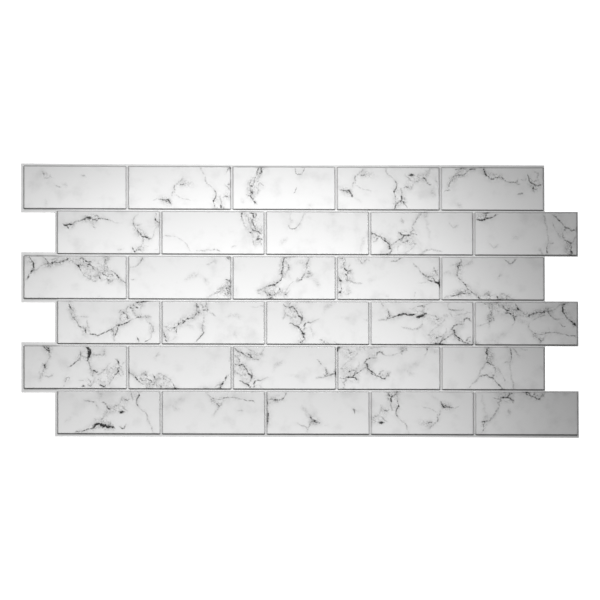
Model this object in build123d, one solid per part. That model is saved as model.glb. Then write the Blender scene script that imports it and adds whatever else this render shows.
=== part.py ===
from build123d import *

import os
from math import atan2, cos, degrees, tan

# PVC wall panel that looks like six staggered courses of marble brick tile.
#
# The real panel is one thin film of PVC, printed and then pressed over a mould. Each tile is a
# shallow raised form that is hollow behind, and the flat film between the tiles makes the joints.
# The panel lies face up. X runs along the courses, Y up the wall and Z out of the wall, and the
# origin is in the middle of the panel's box, on the plane of its back.
#
# The left end keeps a wide lip of bare film round its teeth. The right end is trimmed close to its
# tiles, so that its teeth lie over the lip of the next panel along.

# Driving sizes, in millimetres
FILM = 0.4  # thickness of the film, the same all over
RELIEF = 2.8  # rise of a tile's face above the joints
TILES_PER_COURSE = 5
COURSES = 6
TILE_LENGTH = 177.4  # a tile's face, corner to corner, without its sloping walls
TILE_HEIGHT = 72.8
WALL_RUN = 2.1  # how far a wall leans out on its way down, seen from the front
JOINT_FLOOR = 2.0  # flat film between the feet of two tiles
STAGGER = 58.7  # shift of every other course to the right

LIP_LEFT = 4.0  # bare film left of each course
LIP_RIGHT = 1.3  # bare film right of each course, and above and below the right-hand teeth
LIP_TOP = 4.0
LIP_BOTTOM = 4.0
LIP_NOTCH = 6.1  # bare film above and below the left-hand teeth

CORNER_RADIUS = 0.9  # of a tile's face, seen from the front
FACE_EDGE_RADIUS = 1.0  # round on the front where a tile's face turns down
FOOT_RADIUS = 0.4  # round on the front where a tile's wall meets the joint

# Sizes that follow from the driving ones
FOOT_LENGTH = TILE_LENGTH + 2 * WALL_RUN
FOOT_HEIGHT = TILE_HEIGHT + 2 * WALL_RUN
PITCH_X = FOOT_LENGTH + JOINT_FLOOR
PITCH_Y = FOOT_HEIGHT + JOINT_FLOOR
COURSE_LENGTH = TILES_PER_COURSE * PITCH_X - JOINT_FLOOR
COURSES_HEIGHT = COURSES * PITCH_Y - JOINT_FLOOR
PANEL_LENGTH = LIP_LEFT + COURSE_LENGTH + STAGGER + LIP_RIGHT
PANEL_HEIGHT = LIP_BOTTOM + COURSES_HEIGHT + LIP_TOP

WALL_LEAN = atan2(WALL_RUN, RELIEF)
BACK_INSET = FILM / cos(WALL_LEAN) - FILM * tan(WALL_LEAN)  # hollow's foot inside the tile's foot
PATCH_MARGIN = FOOT_RADIUS  # flat film formed with each tile, wider than the round at its foot


def is_shifted(course):
    """Every other course, from the second one down, is shifted to the right."""
    return course % 2 == 1


def course_left(course):
    """X of the left foot of a course."""
    return -PANEL_LENGTH / 2 + LIP_LEFT + (STAGGER if is_shifted(course) else 0)


def course_middle(course):
    """Y of the middle of a course. Course 0 is the top one."""
    return PANEL_HEIGHT / 2 - LIP_TOP - FOOT_HEIGHT / 2 - course * PITCH_Y


def tile_centres():
    """Where the tiles stand, course by course from the top left."""
    return [
        (course_left(course) + FOOT_LENGTH / 2 + column * PITCH_X, course_middle(course))
        for course in range(COURSES)
        for column in range(TILES_PER_COURSE)
    ]


def course_band(course):
    """Flat film under one course, with the lips that show at its ends."""
    lip = LIP_RIGHT if is_shifted(course) else LIP_NOTCH
    above = LIP_TOP if course == 0 else lip
    below = LIP_BOTTOM if course == COURSES - 1 else lip
    length = LIP_LEFT + COURSE_LENGTH + LIP_RIGHT
    height = below + FOOT_HEIGHT + above
    corner = Pos(course_left(course) - LIP_LEFT, course_middle(course) - FOOT_HEIGHT / 2 - below)
    return corner * Rectangle(length, height, align=Align.MIN)


def raised_form(inset, edge_radius):
    """Block with leaning walls and a rounded top edge, its foot on Z 0."""
    foot = RectangleRounded(
        FOOT_LENGTH - 2 * inset, FOOT_HEIGHT - 2 * inset, CORNER_RADIUS + WALL_RUN - inset
    )
    block = extrude(foot, RELIEF, taper=degrees(WALL_LEAN))
    face_edges = block.faces().sort_by(Axis.Z)[-1].edges()
    return fillet(face_edges, edge_radius)


def with_round_foot(tile, side, radius):
    """The tile with its foot rounded on one side of the flat film, 0 for the back and 1 for the front."""
    flat_face = tile.faces().filter_by(Plane.XY).sort_by(Axis.Z)[side]
    return fillet(flat_face.inner_wires().edges(), radius)


def formed_tile():
    """One hollow tile, with a narrow patch of the flat film round its foot."""
    patch = Box(
        FOOT_LENGTH + 2 * PATCH_MARGIN,
        FOOT_HEIGHT + 2 * PATCH_MARGIN,
        FILM,
        align=(Align.CENTER, Align.CENTER, Align.MIN),
    )
    front = Pos(Z=FILM) * raised_form(0, FACE_EDGE_RADIUS)
    hollow = raised_form(BACK_INSET, FACE_EDGE_RADIUS - FILM)
    tile = patch + front - hollow
    tile = with_round_foot(tile, 1, FOOT_RADIUS)
    return with_round_foot(tile, 0, FOOT_RADIUS + FILM)


def wall_panel():
    """The whole panel: the trimmed film with its tiles formed in it."""
    window = Rectangle(FOOT_LENGTH + 2 * PATCH_MARGIN, FOOT_HEIGHT + 2 * PATCH_MARGIN)
    outline = Sketch() + [course_band(course) for course in range(COURSES)]
    windows = [Pos(x, y) * window for x, y in tile_centres()]
    joints = extrude(outline - windows, FILM)
    tile = formed_tile()
    return joints + [Pos(x, y) * tile for x, y in tile_centres()]


os.makedirs("parts", exist_ok=True)
panel = wall_panel()
export_step(panel, "parts/wall_panel.step")
print(f"panel {PANEL_LENGTH:.1f} x {PANEL_HEIGHT:.1f} x {FILM + RELIEF:.1f} mm")
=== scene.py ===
"""Looks of the PVC wall panel: formed film with a marble print, on a pale floor in soft light.

The film keeps the CAD panel's shape. Its tile faces are meshed finer along the printed veins,
because the print is stored in the mesh: each vertex carries the ink that lies on it.
"""

import math
import random

import bpy
import numpy as np
from mathutils import Matrix, Vector
from mathutils.geometry import delaunay_2d_cdt


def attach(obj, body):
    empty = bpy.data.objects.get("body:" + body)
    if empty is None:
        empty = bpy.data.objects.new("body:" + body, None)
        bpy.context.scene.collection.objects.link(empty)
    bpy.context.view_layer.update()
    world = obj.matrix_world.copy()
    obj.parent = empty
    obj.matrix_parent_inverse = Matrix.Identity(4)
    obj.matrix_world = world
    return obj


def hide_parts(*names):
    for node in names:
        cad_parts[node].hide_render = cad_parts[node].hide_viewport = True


MM = 0.001

# The panel's sizes in millimetres, as in its CAD source
FILM = 0.4
RELIEF = 2.8
TILES_PER_COURSE = 5
COURSES = 6
TILE_LENGTH = 177.4
TILE_HEIGHT = 72.8
WALL_RUN = 2.1
JOINT_FLOOR = 2.0
STAGGER = 58.7
LIP_LEFT = 4.0
LIP_RIGHT = 1.3
LIP_TOP = 4.0
LIP_BOTTOM = 4.0
LIP_NOTCH = 6.1
CORNER_RADIUS = 0.9
FACE_EDGE_RADIUS = 1.0
FOOT_RADIUS = 0.4

# Sizes that follow from them
FOOT_LENGTH = TILE_LENGTH + 2 * WALL_RUN
FOOT_HEIGHT = TILE_HEIGHT + 2 * WALL_RUN
FOOT_CORNER = CORNER_RADIUS + WALL_RUN
PITCH_X = FOOT_LENGTH + JOINT_FLOOR
PITCH_Y = FOOT_HEIGHT + JOINT_FLOOR
COURSE_LENGTH = TILES_PER_COURSE * PITCH_X - JOINT_FLOOR
PANEL_LENGTH = LIP_LEFT + COURSE_LENGTH + STAGGER + LIP_RIGHT
PANEL_HEIGHT = LIP_BOTTOM + COURSES * PITCH_Y - JOINT_FLOOR + LIP_TOP
WALL_TILT = math.atan2(RELIEF, WALL_RUN)  # of a wall's normal away from straight up
BACK_INSET = FILM / math.sin(WALL_TILT) - FILM / math.tan(WALL_TILT)

# Kinds of printed vein: how dark its middle is, its half width in millimetres, and how much haze
# it spreads. Haze alone leaves only clouds and fine cracks.
BLACK = (1.75, 1.45, 0.9)
DARK = (0.8, 0.95, 0.8)
MID = (0.4, 0.9, 0.55)
SOFT = (0.175, 1.15, 0.3)
FAINT = (0.085, 2.8, 0.15)
BLOT = (0.22, 2.6, 0.3)
HAZE = (0.0, 1.0, 1.0)

# Veins of the print, in millimetres, as x, y, x, y and so on. Most tiles are cut from one wide
# sheet of the print, at different places and some the other way up. The rest are printed alone.
SHEET_VEINS = {
    BLACK: [
        (-189, -16, -186, -20), (-40, 15, -34, 16.5, -28, 16, -22, 15, -12, 15),
        (-9, 11, -6, 11, -2, 13, 2, 13.5), (0, 13, 3, 15, 5, 17, 7.5, 16.3), (-6, 12, -2, 12, 1, 14.5),
        (-27.5, -98.5, -31, -98), (168, 33, 169, 32), (262, 11, 264, 9.5), (267, 7, 268, 6),
        (323, 166.5, 328, 166.5),
        (341, 193, 346, 192, 352, 190.5, 360, 188.5, 367, 187.5, 372, 189, 375, 193),
        (342, 194, 350, 193, 357, 191, 363, 189.5),
    ],
    DARK: [
        (-220, 58, -217, 54, -213, 51), (-193, 44, -187, 40), (-220, 30, -217, 28), (-212, 27, -207, 29),
        (-198, 18, -195, 13), (-196, 13, -191, 10, -190, 5), (-210, 0, -204, -4, -200, -5),
        (-199, -5, -195, -8), (-186, -5, -184, -1), (-186, -26, -184, -28),
        (-192, -33, -193, -39, -191, -45), (-193, -58, -187, -60, -180, -64), (-205, -82, -199, -81),
        (-188, -83.5, -182, -85.5), (-189, -17, -187, -25), (-52, 10.5, -48, 12, -40, 14.5), (26, 7, 30, 8),
        (9, -37, 15, -38, 19, -39, 20, -41), (19, -36, 27, -35, 33, -36, 38, -39, 40, -41),
        (37, -26, 35, -30, 32, -34), (-13, -78, -4, -77), (83, 8, 86, 4), (53, -11, 57, -13, 58, -20),
        (62, -24, 70, -30, 76, -33.5), (252, 46, 249, 42, 247, 35, 247, 29, 249, 25), (83, -38, 88, -38),
        (-26.5, -99, -30, -98, -37, -98), (91, 59, 94, 55.5), (252, 22, 254, 18, 260, 13.5, 266, 8, 272, 3),
        (-37, -98, -43, -101, -50, -102, -56, -104), (97, 54, 101, 49, 104, 46), (108, 50, 110, 48),
        (114, 57.5, 118, 55.5), (130, 56, 132, 51), (144, 34, 148, 31, 153, 30),
        (165, 40, 167, 35, 170, 31), (161, 17, 163, 13), (178, 25, 184, 22), (187, 21, 192, 23),
        (203, 27, 210, 26, 215, 27), (249, 26, 252, 21), (252, 44, 249, 40), (258, 56, 256, 51),
        (206, -21, 209, -23), (-41, -102, -42, -111), (60, 108, 68, 110), (74, 76, 77, 74),
        (64, 60, 74, 60), (152, 113, 157, 113),
        (205, 139, 210, 138, 214, 139, 217, 137.5, 219, 134, 221, 130), (297, 141, 295, 138, 296, 132),
        (309, 124, 307, 119), (298, 117, 297, 110, 296, 101, 291, 98, 285, 99),
        (312, 144, 316, 146, 321, 145), (308, 130, 309, 124), (347, 162, 350, 160, 352, 156),
        (374, 193, 377, 196, 381, 196, 388, 198, 396, 201), (372, 188, 376, 190, 378, 194),
        (346, 194.5, 352, 193.5, 358, 192),
    ],
    MID: [
        (-221, 46, -217, 43), (-213, 50, -208, 50, -204, 47, -198, 43), (-214, 40, -210, 33),
        (-183, 37.5, -176, 37), (-198, 48, -192, 45), (-207, 29, -202, 25, -198, 19),
        (-205, 21, -200, 19, -196, 15), (-190, 17, -189, 8, -190, 2), (-203, 10, -198, 10),
        (-184, -1, -180, 1, -175, 0, -168, 3), (-195, -9, -191, -14), (-186, -20, -187, -25),
        (-185, -28, -189, -32, -192, -34), (-191, -45, -193, -51, -191, -58), (61, -26, 68, -31, 74, -35),
        (-60, 22, -58, 17, -57, 14, -62, 8), (-173, -96, -168, -101, -163, -106),
        (-158, -29, -153, -31, -150, -36), (-150, -31, -150, -40, -149, -50, -152, -58, -152, -66),
        (-72, 36, -70, 32, -67, 28), (-186, -5, -184, -9, -188, -12), (-56, -104, -61, -108),
        (3, 16, 3, 24), (22, 14, 27, 8), (-8, 29.5, 3, 30), (22, -27, 27, -25, 32, -23, 36, -23),
        (31, -34, 37, -30, 43, -26, 48, -22, 55, -18), (34, -58, 34, -64), (48, 25, 56, 23.5, 64, 23),
        (73, 3, 74, 7, 78, 9, 82, 8.5), (53, -8, 56, -4, 61, -2.5), (58, -20, 62, -24),
        (76, -33.5, 82, -37), (20, -40, 14, -45), (12, -58, 10, -63, 5, -70, 0, -76),
        (-8, -78, -12, -84, -10, -90, -13, -95), (-200, -81, -193, -80, -187, -84),
        (-182, -85, -178, -90, -173, -96), (-60, 8, -52, 10.5), (122, 41, 123, 36), (122, 28, 121, 22),
        (124, 17, 126, 12), (93, -27, 95, -33), (103, 46, 108, 43, 113, 40),
        (117, 52, 122, 49, 127, 45, 122, 43), (129, 50, 131, 46, 130, 41), (132, 50, 134, 42, 136, 37),
        (140, 40, 144, 35), (142, 39, 144, 34), (146, 26, 154, 25, 160, 22),
        (152, 40, 153, 35, 152, 30, 158, 28, 164, 29, 169, 31), (160, 28, 160, 22, 162, 15),
        (163, 19, 167, 21), (193, 24, 198, 26, 203, 27), (195, 23, 202, 25),
        (212, 27, 217, 30, 222, 28, 227, 30), (222, 26, 226, 21, 231, 16), (253, 45, 257, 51, 262, 58),
        (243, 7, 246, 3, 252, 2),
        (
            191, -5, 196, -9, 201, -10.5, 208, -12, 214, -12, 219, -9, 224, -9, 232, -8, 243, -10.5,
            252, -12, 262, -14, 271, -15,
        ),
        (195, -12, 202, -18, 209, -23), (67, 124, 68, 116, 64, 111, 62, 104, 60, 96, 61, 89),
        (61, 89, 66, 84, 71, 79, 77, 70, 83, 65, 88, 61, 92, 58), (62, 61, 73, 63), (61, 112, 64, 108),
        (50, 55, 60, 57, 70, 60, 80, 59.5, 90, 60), (115, 64, 117, 62), (145, 119, 149, 116, 152, 114),
        (158, 114, 162, 118, 163, 121), (200, 140, 205, 139), (205, 140, 213, 136, 218, 136),
        (227, 153, 227, 164), (237, 166, 243, 166), (281, 178, 282, 171),
        (297, 156, 301, 151, 299, 143, 296, 138), (296, 132, 298, 126, 298, 118),
        (285, 99, 278, 99, 271, 97, 266, 92, 264, 87), (307, 143, 309, 136, 308, 130), (307, 119, 298, 117),
        (309, 122, 313, 116, 318, 110), (320, 145, 326, 140), (350, 160, 353, 154, 357, 150, 362, 149),
        (396, 201, 407, 201), (320, 190, 321, 194, 325, 196, 328, 193), (373, 148, 382, 148, 388, 147),
    ],
    SOFT: [
        (-196, 57, -190, 53, -183, 50, -176, 48, -168, 44), (-186, 47, -180, 44, -172, 50, -169, 57),
        (-222, 24, -219, 17, -221, 10, -218, 14, -212, 12, -209, 9, -203, 14), (-206, 16, -207, 6),
        (-193, 9, -192, 0, -195, -4), (-170, 3, -160, 7), (-174, -10, -171, -20, -170, -25),
        (-175, -8, -172, -16, -168, -22), (-193, -58, -198, -65, -204, -73, -206, -80),
        (-205, -82, -210, -89, -217, -94), (-181, -62, -177, -69, -178, -78, -182, -84),
        (-213, -90, -220, -98, -224, -104), (-173, -68, -169, -75, -164, -82, -160, -92),
        (-152, -66, -150, -78, -147, -92, -144, -107), (-161, -58, -152, -58),
        (-146, -33, -142, -38, -137, -46), (-131, -34, -120, -36), (-60, -50, -54, -50, -48, -58),
        (-94, -69, -90, -66), (-78, 6, -62, 6), (3, 30, 7, 33, 14, 36), (30, 8, 36, 9), (28, 3, 32, 2),
        (226, 29, 234, 33, 240, 39, 246, 42), (20, -40, 14, -45, 17, -51, 12, -58, 10, -63, 5, -70, 0, -76),
        (73, 63, 79, 67), (-8, -78, -12, -84, -10, -90, -13, -95, -16, -99), (-12, 15, -8, 12),
        (10, 15, 18, 14, 24, 13), (3, 24, 4, 30), (2, 18, 4, 22), (-22, 26, -14, 25),
        (40, 9, 38, 4, 30, -3, 20, -10, 12, -19), (9, -20, 20, -20.5),
        (-35, -7, -26, -9, -18, -11, -10, -10, -2, -7, 0, 3), (42, -8, 42, -15, 38, -20),
        (122, 44, 123, 34, 121, 24, 119, 14, 117, 4), (46, 34, 46, 25), (64, 23, 73, 24),
        (50, 17, 53, 12, 60, 11), (58, 14, 70, 16, 76, 17, 80, 20, 88, 19), (106, 4, 112, 7, 118, 11),
        (61, -2.5, 70, -2, 73, 3), (88, 3, 98, 2.5, 106, 4), (79, -36, 77, -30, 81, -26, 88, -24),
        (88, -38, 93, -32, 98, -26), (56, -28, 60, -27), (115, 8, 115, 18, 119, 28, 118, 34, 113, 42),
        (136, 58, 142, 60, 148, 56, 154, 52, 160, 48, 165, 40), (146, 54, 148, 48, 142, 50),
        (148, 55, 150, 50, 154, 48), (152, 42, 157, 46, 162, 44), (163, 13, 160, 6, 158, 3),
        (106, 56, 112, 61, 119, 59), (166, 22, 178, 20), (171, 31, 175, 28, 180, 24), (182, 21, 188, 19),
        (240, 15, 250, 16), (231, 16, 240, 15), (215, 22, 206, 20, 196, 14), (214, 34, 220, 33, 226, 35),
        (211, -23, 214, -17), (211, -23, 204, -32, 199, -41), (224, -8, 223, -2), (188, 8, 187, 0, 190, -4),
        (242, -32, 252, -32), (52, 110, 58, 110), (69, 107, 78, 111, 86, 116, 87, 122), (79, 110, 86, 116),
        (40, 54, 50, 57, 62, 61), (144, 56, 147, 55), (38, 52, 46, 53), (190, 138, 197, 142),
        (222, 147, 227, 157), (227, 163, 232, 168, 238, 172, 243, 178), (243, 166, 250, 169, 254, 172),
        (229, 147, 238, 143, 246, 140, 254, 138), (270, 203, 273, 193, 278, 184), (284, 168, 290, 162),
        (350, 163, 356, 171, 360, 179, 362, 186), (360, 190, 362, 184, 368, 180, 376, 177),
        (368, 158, 371, 152), (330, 166, 338, 165), (326, 142, 328, 149, 331, 155, 338, 157, 346, 161),
        (283, 169, 291, 162, 297, 156), (318, 187, 320, 191), (388, 147, 393, 146), (303, 119, 310, 121),
        (316, 165, 322, 160, 328, 156),
    ],
    BLOT: [
        (34, -57, 34, -65), (133, 88, 138, 93), (57, -15, 58, -20), (84, -38, 87, -38),
        (-61, -52, -59, -51), (212, 138, 217, 137), (149, 27, 152, 26), (372, 191, 375, 190),
        (-202, -4, -199, -5), (40, 14, 45, 12),
    ],
    FAINT: [
        (-7, -76, -8, -60, -12, -45, -15, -31), (-98, -66, -92, -68),
        (-151, 18, -148, 29, -142, 31, -135, 34), (-120, 10, -108, 7), (133, -16, 131, -21),
        (139, -12, 146, -12), (122, -24, 130, -27, 140, -31), (170, 12, 186, 6), (226, 128, 238, 117),
        (416, 176, 426, 186), (365, 145, 365, 130), (36, 97, 50, 96), (240, 172, 244, 178),
    ],
    HAZE: [
        (-218, 52, -204, 42, -190, 46, -176, 42), (-216, 22, -206, 22, -196, 16, -188, 8),
        (-216, 30, -204, 30), (-192, -20, -188, -34, -189, -48), (-184, -44, -186, -56),
        (-200, -2, -190, -8), (-66, 12, -54, 13), (8, 8, 20, 4, 30, -2), (26, -40, 40, -34),
        (14, -28, 28, -18), (60, 4, 72, 0), (82, -32, 92, -30),
        (100, 56, 116, 56, 132, 48, 144, 50, 158, 50), (110, 50, 124, 44), (144, 30, 156, 34, 164, 26),
        (178, 22, 196, 24, 214, 28, 230, 30), (142, 24, 130, 30), (250, 30, 258, 22, 266, 16),
        (56, 60, 70, 62, 84, 60), (62, 88, 66, 104), (296, 112, 300, 124),
        (318, 150, 336, 160, 350, 166, 362, 172), (346, 186, 366, 184), (206, 142, 216, 132),
        (236, 168, 262, 166), (-22, -104, -40, -104), (196, -14, 212, -16), (310, 128, 316, 118),
        (-14, 20, 8, 22), (-180, -70, -176, -80), (-190, -42, -182, -50, -188, -56),
        (118, 40, 122, 24, 118, 10),
    ],
}
ALONE_VEINS = {
    (0, 0): {
        SOFT: [
            (-57, 24, -51, 24), (-52, 16, -45, 17), (-57, 28, -54, 22), (-35, 4, -30, 1.5, -25, 0),
            (11, 22, 18, 20), (-44, 22, -40, 16),
        ],
        FAINT: [(-20, 5, -15, 3), (-52, -25, -51, -35)],
        HAZE: [(-56, 22, -46, 18)],
    },
    (0, 2): {
        DARK: [
            (-40, 37, -39, 29, -42, 25), (-61, 5, -55, 3), (-58, -5, -57, -8),
            (-55, -8, -58, -12, -60, -14), (-53, -23, -50, -26),
        ],
        MID: [
            (-44, 36, -47, 25), (-47, 30, -48, 22, -52, 17, -52, 12, -55, 5), (-60, -2, -57, -7),
            (-66, -12, -58, -16, -54, -22), (-42, 9, -38, 6, -35, 3), (20, 35, 20, 27, 25, 24),
            (24, 24, 31, 25), (31, 25, 34, 30, 36, 37), (22, 0, 20, -5, 18, -9), (-57, 14, -61, 6, -58, -2),
        ],
        SOFT: [(-46, 30, -40, 24, -36, 38), (-50, 2, -44, -5, -48, -12), (-62, 12, -64, 0, -62, -10)],
        FAINT: [(42, -32, 48, -28), (-74, -20, -70, -25)],
        HAZE: [(-44, 34, -50, 18, -56, 4, -56, -10, -52, -24), (-48, 12, -44, 2)],
    },
    (0, 4): {
        DARK: [
            (-60, 25, -50, 24), (-40, 36, -31, 35), (-17, 38, -14, 31, -10, 23), (-16, 37, -13, 30),
            (-1, 17, 3, 18), (16, 21, 19, 17), (62, 25, 64, 19, 65, 14, 70, 10, 76, 7),
            (46, -9, 51, -8, 55, -8),
        ],
        MID: [
            (-77, 4, -75, 11, -71, 19, -65, 23, -60, 24), (-50, 25, -46, 29, -43, 32, -38, 35),
            (-66, 34, -56, 35, -46, 36), (-31, 36, -20, 37), (-84, -4, -77, -3),
            (-10, 23, -4, 18, 0, 17, 5, 20, 12, 21), (12, 21, 17, 20),
            (20, 16, 26, 13, 33, 12, 42, 11, 44, 16), (44, 8, 48, 8), (76, 7, 80, 6, 87, 8),
            (72, 6, 71, 0, 73, -4), (71, -1, 76, 0, 76, 5),
        ],
        SOFT: [
            (-78, 8, -79, 0), (-72, 13, -66, 19, -58, 21, -52, 22), (50, 17, 60, 17),
            (75, 30, 80, 28, 78, 20, 82, 14), (76, 3, 78, -2),
        ],
        FAINT: [(-62, -28, -55, -35)],
        HAZE: [(-76, 12, -62, 26, -44, 32), (-10, 26, 4, 22, 18, 18), (70, 8, 76, 0), (66, 16, 78, 12)],
    },
    (1, 0): {
        BLACK: [(-38, 26, -32, 25.5)],
        DARK: [
            (-78, 13, -72, 13, -64, 14), (-73, 11, -70, 7), (-46, 22, -40, 25.5, -34, 26.5, -30, 25),
            (-26, 23, -21, 20.5), (48, 7, 50, 4), (54, 0, 57, -4), (59, -7, 66, -8, 71, -11),
            (42, -27, 46, -34), (82, 24, 86, 19),
        ],
        MID: [
            (-64, 14, -60, 18, -53, 20, -46, 22), (-30, 25, -26, 23), (-21, 20, -17, 25, -8, 24, 0, 22),
            (-26, 28, -20, 30, -16, 27), (-29, 12, -24, 8), (43, 20, 44, 13, 48, 7, 52, 2, 56, -4, 60, -8),
            (50, 12, 56, 14), (71, -12, 76, -10), (46, -34, 51, -30, 57, -32), (82, 36, 84, 29),
            (86, 19, 90, 15),
        ],
        SOFT: [
            (0, 22, 8, 19, 18, 17), (52, 32, 46, 28, 42, 22, 43, 16), (-30, 17, -26, 10),
            (-29, 18, -28, 25), (61, -9, 61, -18, 56, -25, 50, -29),
            (76, -10, 79, -6, 80, 3, 83, 8, 88, 11, 90, 13), (62, -22, 72, -24), (16, -30, 24, -30),
            (84, -30, 88, -28),
        ],
        HAZE: [
            (-72, 10, -60, 14), (-46, 24, -30, 24, -18, 24), (46, 12, 56, 0, 68, -10), (48, -30, 64, -28),
            (80, 8, 88, 18),
        ],
    },
    (1, 1): {
        DARK: [
            (52, 38, 50, 32, 51, 26), (66, 38, 70, 34, 71, 29), (75, 36, 76, 31), (69, 21, 71, 17),
            (73, 12, 76, 9), (65, 1, 69, -1), (76, -12, 81, -10), (86, -11, 90, -10),
        ],
        MID: [
            (71, 29, 68, 22, 70, 17, 73, 11), (76, 31, 72, 26, 69, 22), (66, 9, 70, 5, 76, 3),
            (77, 3, 81, 1, 84, -2), (78, -2, 80, -6, 78, -9), (63, 28, 62, 21, 66, 15), (81, -11, 86, -11),
            (70, -14, 71, -20, 74, -24), (6, -30, 11, -32), (84, 4, 86, -4),
        ],
        SOFT: [
            (-88, -6, -76, -6, -66, -7, -58, -11, -52, -15, -47, -20, -43, -27, -40, -33),
            (-30, -31, -15, -32, -8, -30, 2, -29, 8, -30), (35, -24, 41, -24), (70, 8, 66, 0, 70, -6),
            (82, -14, 86, -22), (51, 26, 53, 18, 55, 12, 58, 9),
        ],
        HAZE: [
            (54, 32, 56, 18), (68, 36, 70, 24, 68, 12), (76, 30, 76, 16), (70, 4, 80, 2, 84, -8),
            (66, 6, 62, 16), (74, -14, 82, -18), (60, 34, 62, 24), (86, 20, 84, 6),
        ],
    },
    (1, 2): {
        MID: [(-51, 14, -49, 9), (-48, 8, -45, 7, -40, 7.5, -35, 12, -31, 17)],
        SOFT: [
            (-47, 34, -48, 25), (-49, 9, -45, 7), (-40, 8, -34, 13, -30, 19, -26, 27, -22, 35),
            (-49, 25, -46, 23),
        ],
        FAINT: [
            (-64, -19, -60, -14, -55, -11), (88, 5, 82, -8, 78, -20, 76, -32), (20, 35, 34, 38),
            (-18, 28, -12, 26),
        ],
    },
    (2, 1): {
        BLACK: [(84, 38, 85, 35)],
        DARK: [(82, -3, 86, -5, 90, -9), (81, -18, 86, -19)],
        MID: [
            (-66, 38, -66, 32, -69, 27), (82, 35, 85, 38, 90, 36), (80, -12, 84, -9), (88, -13, 86, -26),
            (82, -19, 84, -26, 81, -33), (82, -30, 88, -26),
        ],
        SOFT: [
            (-69, 27, -74, 22, -80, 19, -88, 18), (-86, -3, -79, -4.5), (47, 23, 53, 25, 58, 28, 62, 29),
            (66, -20, 72, -18, 78, -16), (48, -34, 55, -31, 60, -28, 66, -25, 72, -22, 78, -15, 82, -10),
            (76, -20, 80, -28, 85, -33),
        ],
        FAINT: [(10, -4, 20, 3, 32, 5), (22, 4, 36, 5), (44, -3, 50, -10)],
        HAZE: [(62, -30, 74, -22, 84, -14), (76, -30, 84, -24), (86, -6, 88, -30), (-68, 34, -66, 28)],
    },
    (2, 2): {
        BLACK: [(-19, -12, -17, -13)],
        DARK: [
            (2, 38, 5, 34), (-1, 31, -3, 26, -2, 20), (-3, 15, -5, 10, -3, 5), (-4, 2, -6, -4, -9, -6),
            (-27, -14, -19, -13), (-9, -17, -8, -21), (-28, -27, -25, -31), (-28, -36, -22, -35),
            (30, -3, 26, -4),
        ],
        MID: [
            (1, 37, -1, 31), (-2, 20, -3, 15), (-4, 6, -3, 2), (6, 36, 12, 37, 17, 38),
            (-9, -6, -14, -10, -19, -13), (-34, -24, -29, -32), (-8, -18, -7, -24, -3, -26, 3, -29, 6, -33),
            (-27, -26, -22, -32, -17, -28, -17, -22), (-24, -34, -19, -31),
            (45, 38, 42, 30, 39, 24, 40, 18), (36, 8, 32, 1, 29, -4), (42, 8, 44, 7),
        ],
        SOFT: [
            (-19, -31, -17, -30, -12, -26, -9, -22), (40, 18, 36, 8), (42, 12, 46, 7, 49, 4),
            (-1, 31, -3, 22, -2, 14, -4, 6), (-34, -18, -34, -26),
            (-39, -20, -46, -21, -48, -26, -42, -28, -37, -23), (0, 30, 6, 24, 8, 15, 4, 10),
            (4, -20, 8, -14, 14, -8, 20, -5), (-27, -14, -33, -16, -37, -19), (40, 13, 48, 10),
            (46, 4, 38, 2), (-3, -22, 0, -34),
        ],
        FAINT: [(50, -3, 62, -12), (22, 26, 36, 27), (-86, -15, -84, -28), (6, 6, 14, -2)],
        HAZE: [
            (-2, 32, -4, 16, -6, 2), (6, 28, 6, 14), (-12, -10, -28, -16), (-32, -24, -20, -30, -8, -24),
            (-46, -24, -38, -24), (40, 26, 42, 12), (40, 4, 48, 6), (-2, -28, 8, -22),
        ],
    },
    (2, 3): {
        BLACK: [(-86, -3, -84, -5), (81, -4, 84, -7, 90, -9.5)],
        DARK: [
            (-89, 4, -87, 0, -85, -5), (-77, 17, -73, 12), (-75, 6, -72, 1), (-84, -15, -82, -19),
            (-87, -24, -84, -27), (-84, 36, -80, 34), (68, 2, 73, 4, 77, 3, 81, -3), (70, -3, 75, -5),
        ],
        MID: [
            (-78, 38, -76, 31, -80, 24), (-79, 23, -77, 18), (-73, 12, -66, 13), (-73, 11, -71, 8, -75, 5),
            (-72, 1, -75, -6), (-71, -4, -63, -7), (-83, -20, -86, -25), (58, 10, 62, 6, 68, 2),
            (75, -5, 80, -4), (82, 13, 86, 7), (5, 30, 12, 30, 18, 33, 21, 37),
        ],
        SOFT: [
            (44, 26, 50, 20, 56, 12, 58, 10), (-63, -7, -54, -9, -48, -9), (-43, 29, -38, 34, -32, 31),
            (-68, 12, -64, 8), (47, -24, 46, -32), (80, 20, 84, 12, 88, 8), (70, -1, 69, 3),
            (-54, 34, -50, 30, -46, 26, -43, 29), (55, -8, 66, -6), (-68, 24, -71, 18),
        ],
        FAINT: [(-34, -3, -28, -2), (-5, -30, 0, -33), (-72, -14, -72, -30)],
        HAZE: [
            (-86, 34, -78, 28), (-76, 22, -70, 10, -74, 0), (-88, -2, -80, -8), (-86, -16, -84, -30),
            (-70, 2, -66, -6), (-82, 12, -84, 22), (-56, 34, -42, 30), (66, 4, 82, 0), (80, 14, 86, 8),
            (-70, -20, -72, -30),
        ],
    },
    (3, 0): {
        BLACK: [(32, 9, 34, 6.5)],
        DARK: [
            (26, 17.5, 28, 15.5), (38, 26, 40, 25), (43, 31, 45, 29), (50, 9, 52, 9.5), (57, 10, 59, 10),
            (69, 9, 71, 9.5), (-69, 30, -66, 24), (-53, -6, -50, -8), (-41, -11, -40, -18),
            (-22, -22, -20, -24), (64, -33, 69, -31), (51, -29, 53, -34), (17, -6, 22, -4, 30, -1, 34, 0),
            (50, 35, 56, 36, 63, 37, 70, 37), (48, 27, 51, 26),
        ],
        MID: [
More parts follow.
